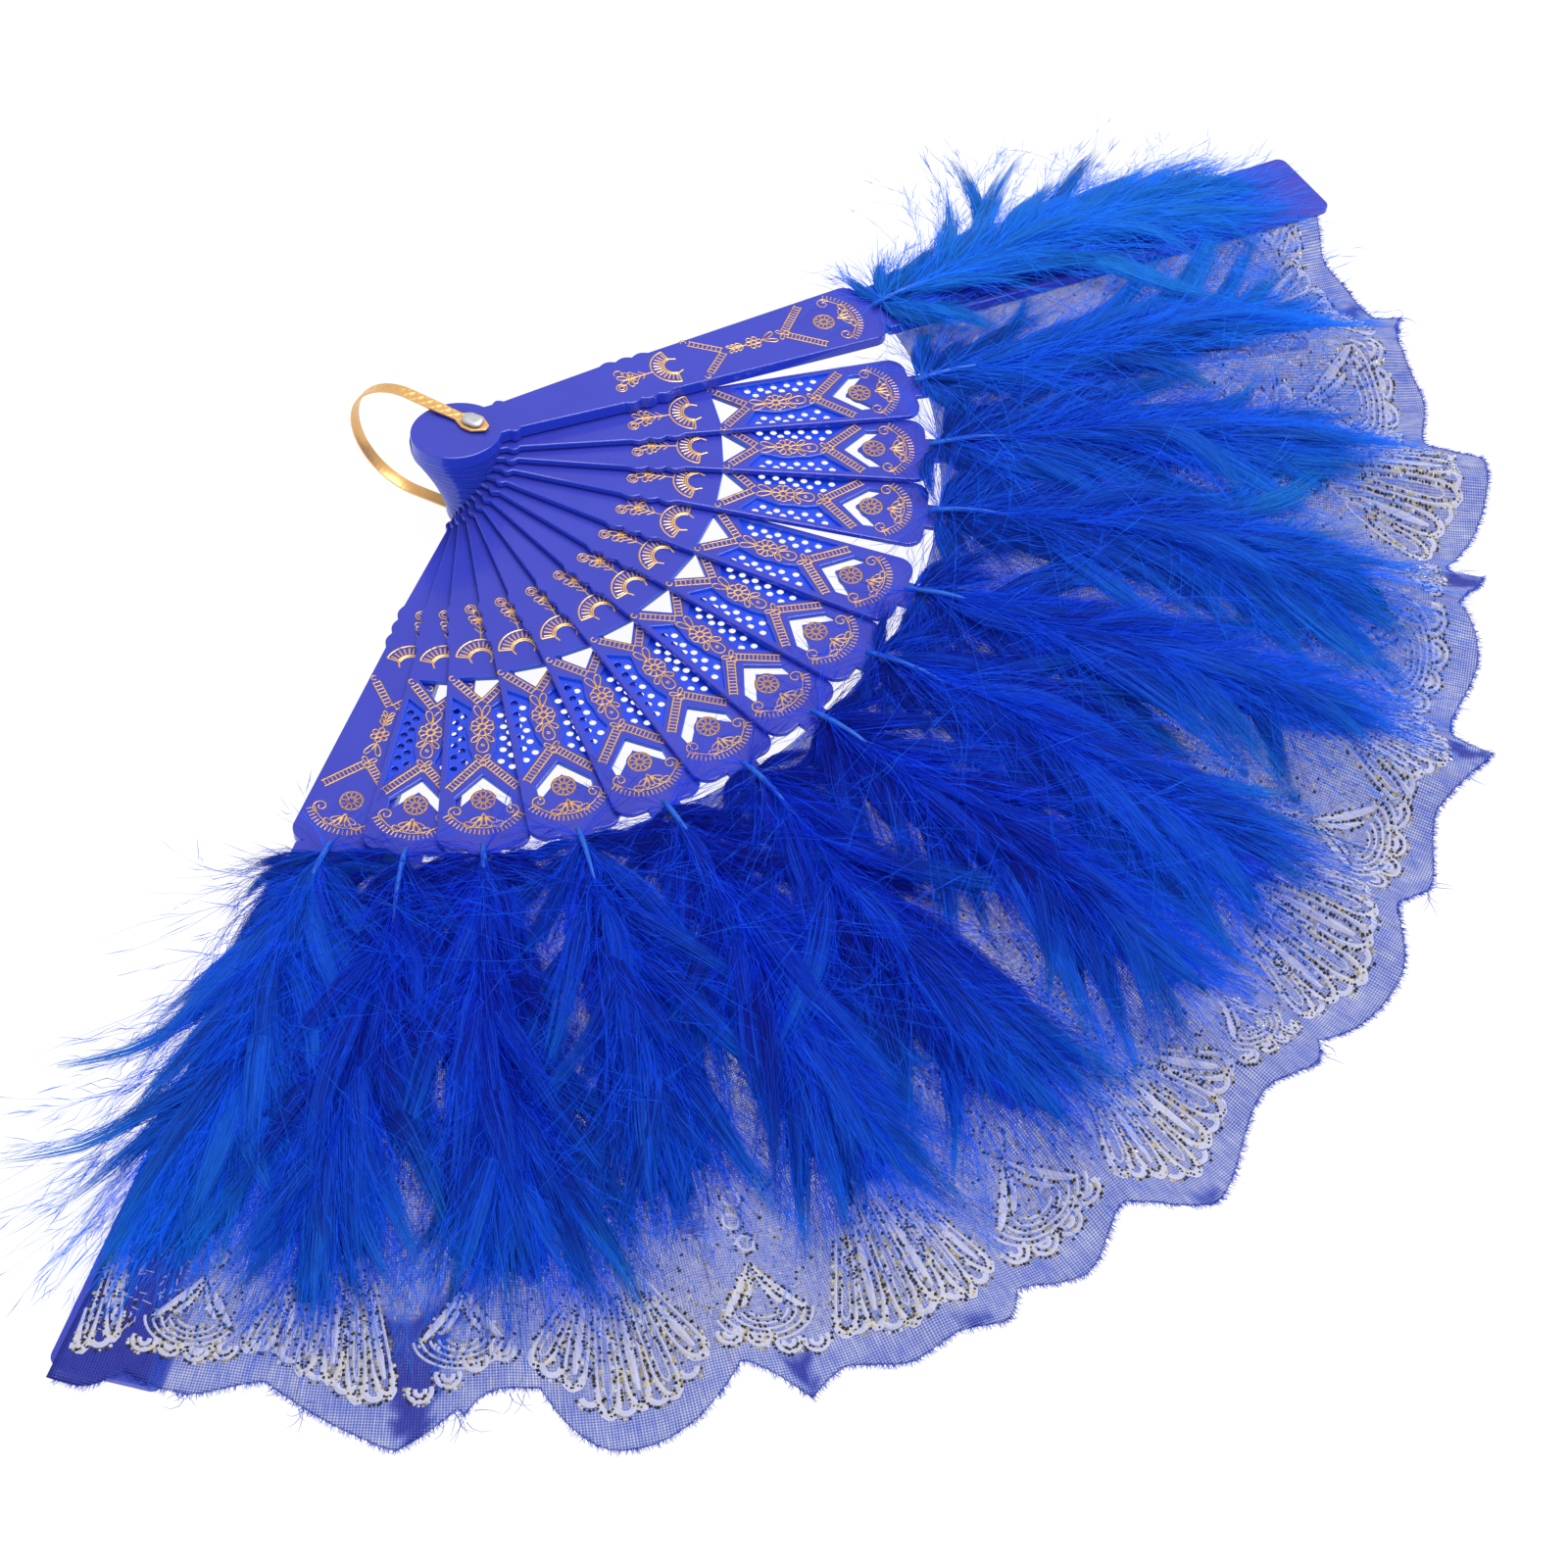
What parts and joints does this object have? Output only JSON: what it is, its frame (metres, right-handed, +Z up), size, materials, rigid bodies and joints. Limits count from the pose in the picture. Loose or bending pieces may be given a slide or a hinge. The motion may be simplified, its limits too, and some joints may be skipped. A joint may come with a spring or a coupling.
{
  "type": "folding fan",
  "caption": "Open folding fan with pierced plastic sticks, a sheer scalloped lace leaf, feather plumes, a rivet and a gilt wrist loop",
  "frame": {"origin": "centre of the flat lower face of the pivot rivet, which stands on the surface that the open fan lies on", "axes": "+Z up along the rivet, +Y along the middle of the open fan, +X to the right towards the back guard, so the fan is widest along X"},
  "size_m": [0.4682, 0.2949, 0.0356],
  "materials": {
    "plastic": "glossy",
    "lace": "sheer",
    "down": "fluffy",
    "gilt": "polished",
    "rivet": "satin"
  },
  "bodies": {
    "back_guard": {"back_guard": "plastic", "feather_00": "down", "pivot_rivet": "rivet"},
    "stick_01": {"stick_01": "plastic", "feather_01": "down", "leaf_panel_01": "lace"},
    "stick_02": {"stick_02": "plastic", "feather_02": "down", "leaf_panel_02": "lace"},
    "stick_03": {"stick_03": "plastic", "feather_03": "down", "leaf_panel_03": "lace"},
    "stick_04": {"stick_04": "plastic", "feather_04": "down", "leaf_panel_04": "lace"},
    "stick_05": {"stick_05": "plastic", "feather_05": "down", "leaf_panel_05": "lace"},
    "stick_06": {"stick_06": "plastic", "feather_06": "down", "leaf_panel_06": "lace"},
    "stick_07": {"stick_07": "plastic", "feather_07": "down", "leaf_panel_07": "lace"},
    "stick_08": {"stick_08": "plastic", "feather_08": "down", "leaf_panel_08": "lace"},
    "stick_09": {"stick_09": "plastic", "feather_09": "down", "leaf_panel_09": "lace"},
    "stick_10": {"stick_10": "plastic", "feather_10": "down", "leaf_panel_10": "lace"},
    "stick_11": {"stick_11": "plastic", "feather_11": "down", "leaf_panel_11": "lace"},
    "front_guard": {"front_guard": "plastic", "feather_12": "down", "leaf_panel_12": "lace"},
    "wrist_loop": {"wrist_loop": "gilt"}
  },
  "joints": [
    {"name": "stick_01_turn", "type": "hinge", "parent": "back_guard", "child": "stick_01", "pos_m": [0, 0, 0], "axis": [0, 0, 1], "range_deg": [-9, 0], "deforming": ["leaf_panel_01", "feather_01", "feather_00"]},
    {"name": "stick_02_turn", "type": "hinge", "parent": "stick_01", "child": "stick_02", "pos_m": [0, 0, 0], "axis": [0, 0, 1], "range_deg": [-9, 0], "deforming": ["leaf_panel_02", "feather_02"]},
    {"name": "stick_03_turn", "type": "hinge", "parent": "stick_02", "child": "stick_03", "pos_m": [0, 0, 0], "axis": [0, 0, 1], "range_deg": [-11, 0], "deforming": ["leaf_panel_03", "feather_03"]},
    {"name": "stick_04_turn", "type": "hinge", "parent": "stick_03", "child": "stick_04", "pos_m": [0, 0, 0], "axis": [0, 0, 1], "range_deg": [-10.5, 0], "deforming": ["leaf_panel_04", "feather_04"]},
    {"name": "stick_05_turn", "type": "hinge", "parent": "stick_04", "child": "stick_05", "pos_m": [0, 0, 0], "axis": [0, 0, 1], "range_deg": [-10.5, 0], "deforming": ["leaf_panel_05", "feather_05"]},
    {"name": "stick_06_turn", "type": "hinge", "parent": "stick_05", "child": "stick_06", "pos_m": [0, 0, 0], "axis": [0, 0, 1], "range_deg": [-11, 0], "deforming": ["leaf_panel_06", "feather_06"]},
    {"name": "stick_07_turn", "type": "hinge", "parent": "stick_06", "child": "stick_07", "pos_m": [0, 0, 0], "axis": [0, 0, 1], "range_deg": [-11, 0], "deforming": ["leaf_panel_07", "feather_07"]},
    {"name": "stick_08_turn", "type": "hinge", "parent": "stick_07", "child": "stick_08", "pos_m": [0, 0, 0], "axis": [0, 0, 1], "range_deg": [-11, 0], "deforming": ["leaf_panel_08", "feather_08"]},
    {"name": "stick_09_turn", "type": "hinge", "parent": "stick_08", "child": "stick_09", "pos_m": [0, 0, 0], "axis": [0, 0, 1], "range_deg": [-13, 0], "deforming": ["leaf_panel_09", "feather_09"]},
    {"name": "stick_10_turn", "type": "hinge", "parent": "stick_09", "child": "stick_10", "pos_m": [0, 0, 0], "axis": [0, 0, 1], "range_deg": [-11, 0], "deforming": ["leaf_panel_10", "feather_10"]},
    {"name": "stick_11_turn", "type": "hinge", "parent": "stick_10", "child": "stick_11", "pos_m": [0, 0, 0], "axis": [0, 0, 1], "range_deg": [-11, 0], "deforming": ["leaf_panel_11", "feather_11"]},
    {"name": "front_guard_turn", "type": "hinge", "parent": "stick_11", "child": "front_guard", "pos_m": [0, 0, 0], "axis": [0, 0, 1], "range_deg": [-14, 0], "deforming": ["leaf_panel_12", "feather_12"]},
    {"name": "wrist_loop_swing", "type": "hinge", "parent": "back_guard", "child": "wrist_loop", "pos_m": [0, 0, 0], "axis": [0, 0, 1], "range_deg": [-80, 80]}
  ],
  "couplings": [
    {"joint": "stick_02_turn", "follows": "stick_01_turn", "ratio": 1},
    {"joint": "stick_03_turn", "follows": "stick_01_turn", "ratio": 1.2222},
    {"joint": "stick_04_turn", "follows": "stick_01_turn", "ratio": 1.1666},
    {"joint": "stick_05_turn", "follows": "stick_01_turn", "ratio": 1.1666},
    {"joint": "stick_06_turn", "follows": "stick_01_turn", "ratio": 1.2222},
    {"joint": "stick_07_turn", "follows": "stick_01_turn", "ratio": 1.2222},
    {"joint": "stick_08_turn", "follows": "stick_01_turn", "ratio": 1.2222},
    {"joint": "stick_09_turn", "follows": "stick_01_turn", "ratio": 1.4444},
    {"joint": "stick_10_turn", "follows": "stick_01_turn", "ratio": 1.2222},
    {"joint": "stick_11_turn", "follows": "stick_01_turn", "ratio": 1.2222},
    {"joint": "front_guard_turn", "follows": "stick_01_turn", "ratio": 1.5555}
  ]
}
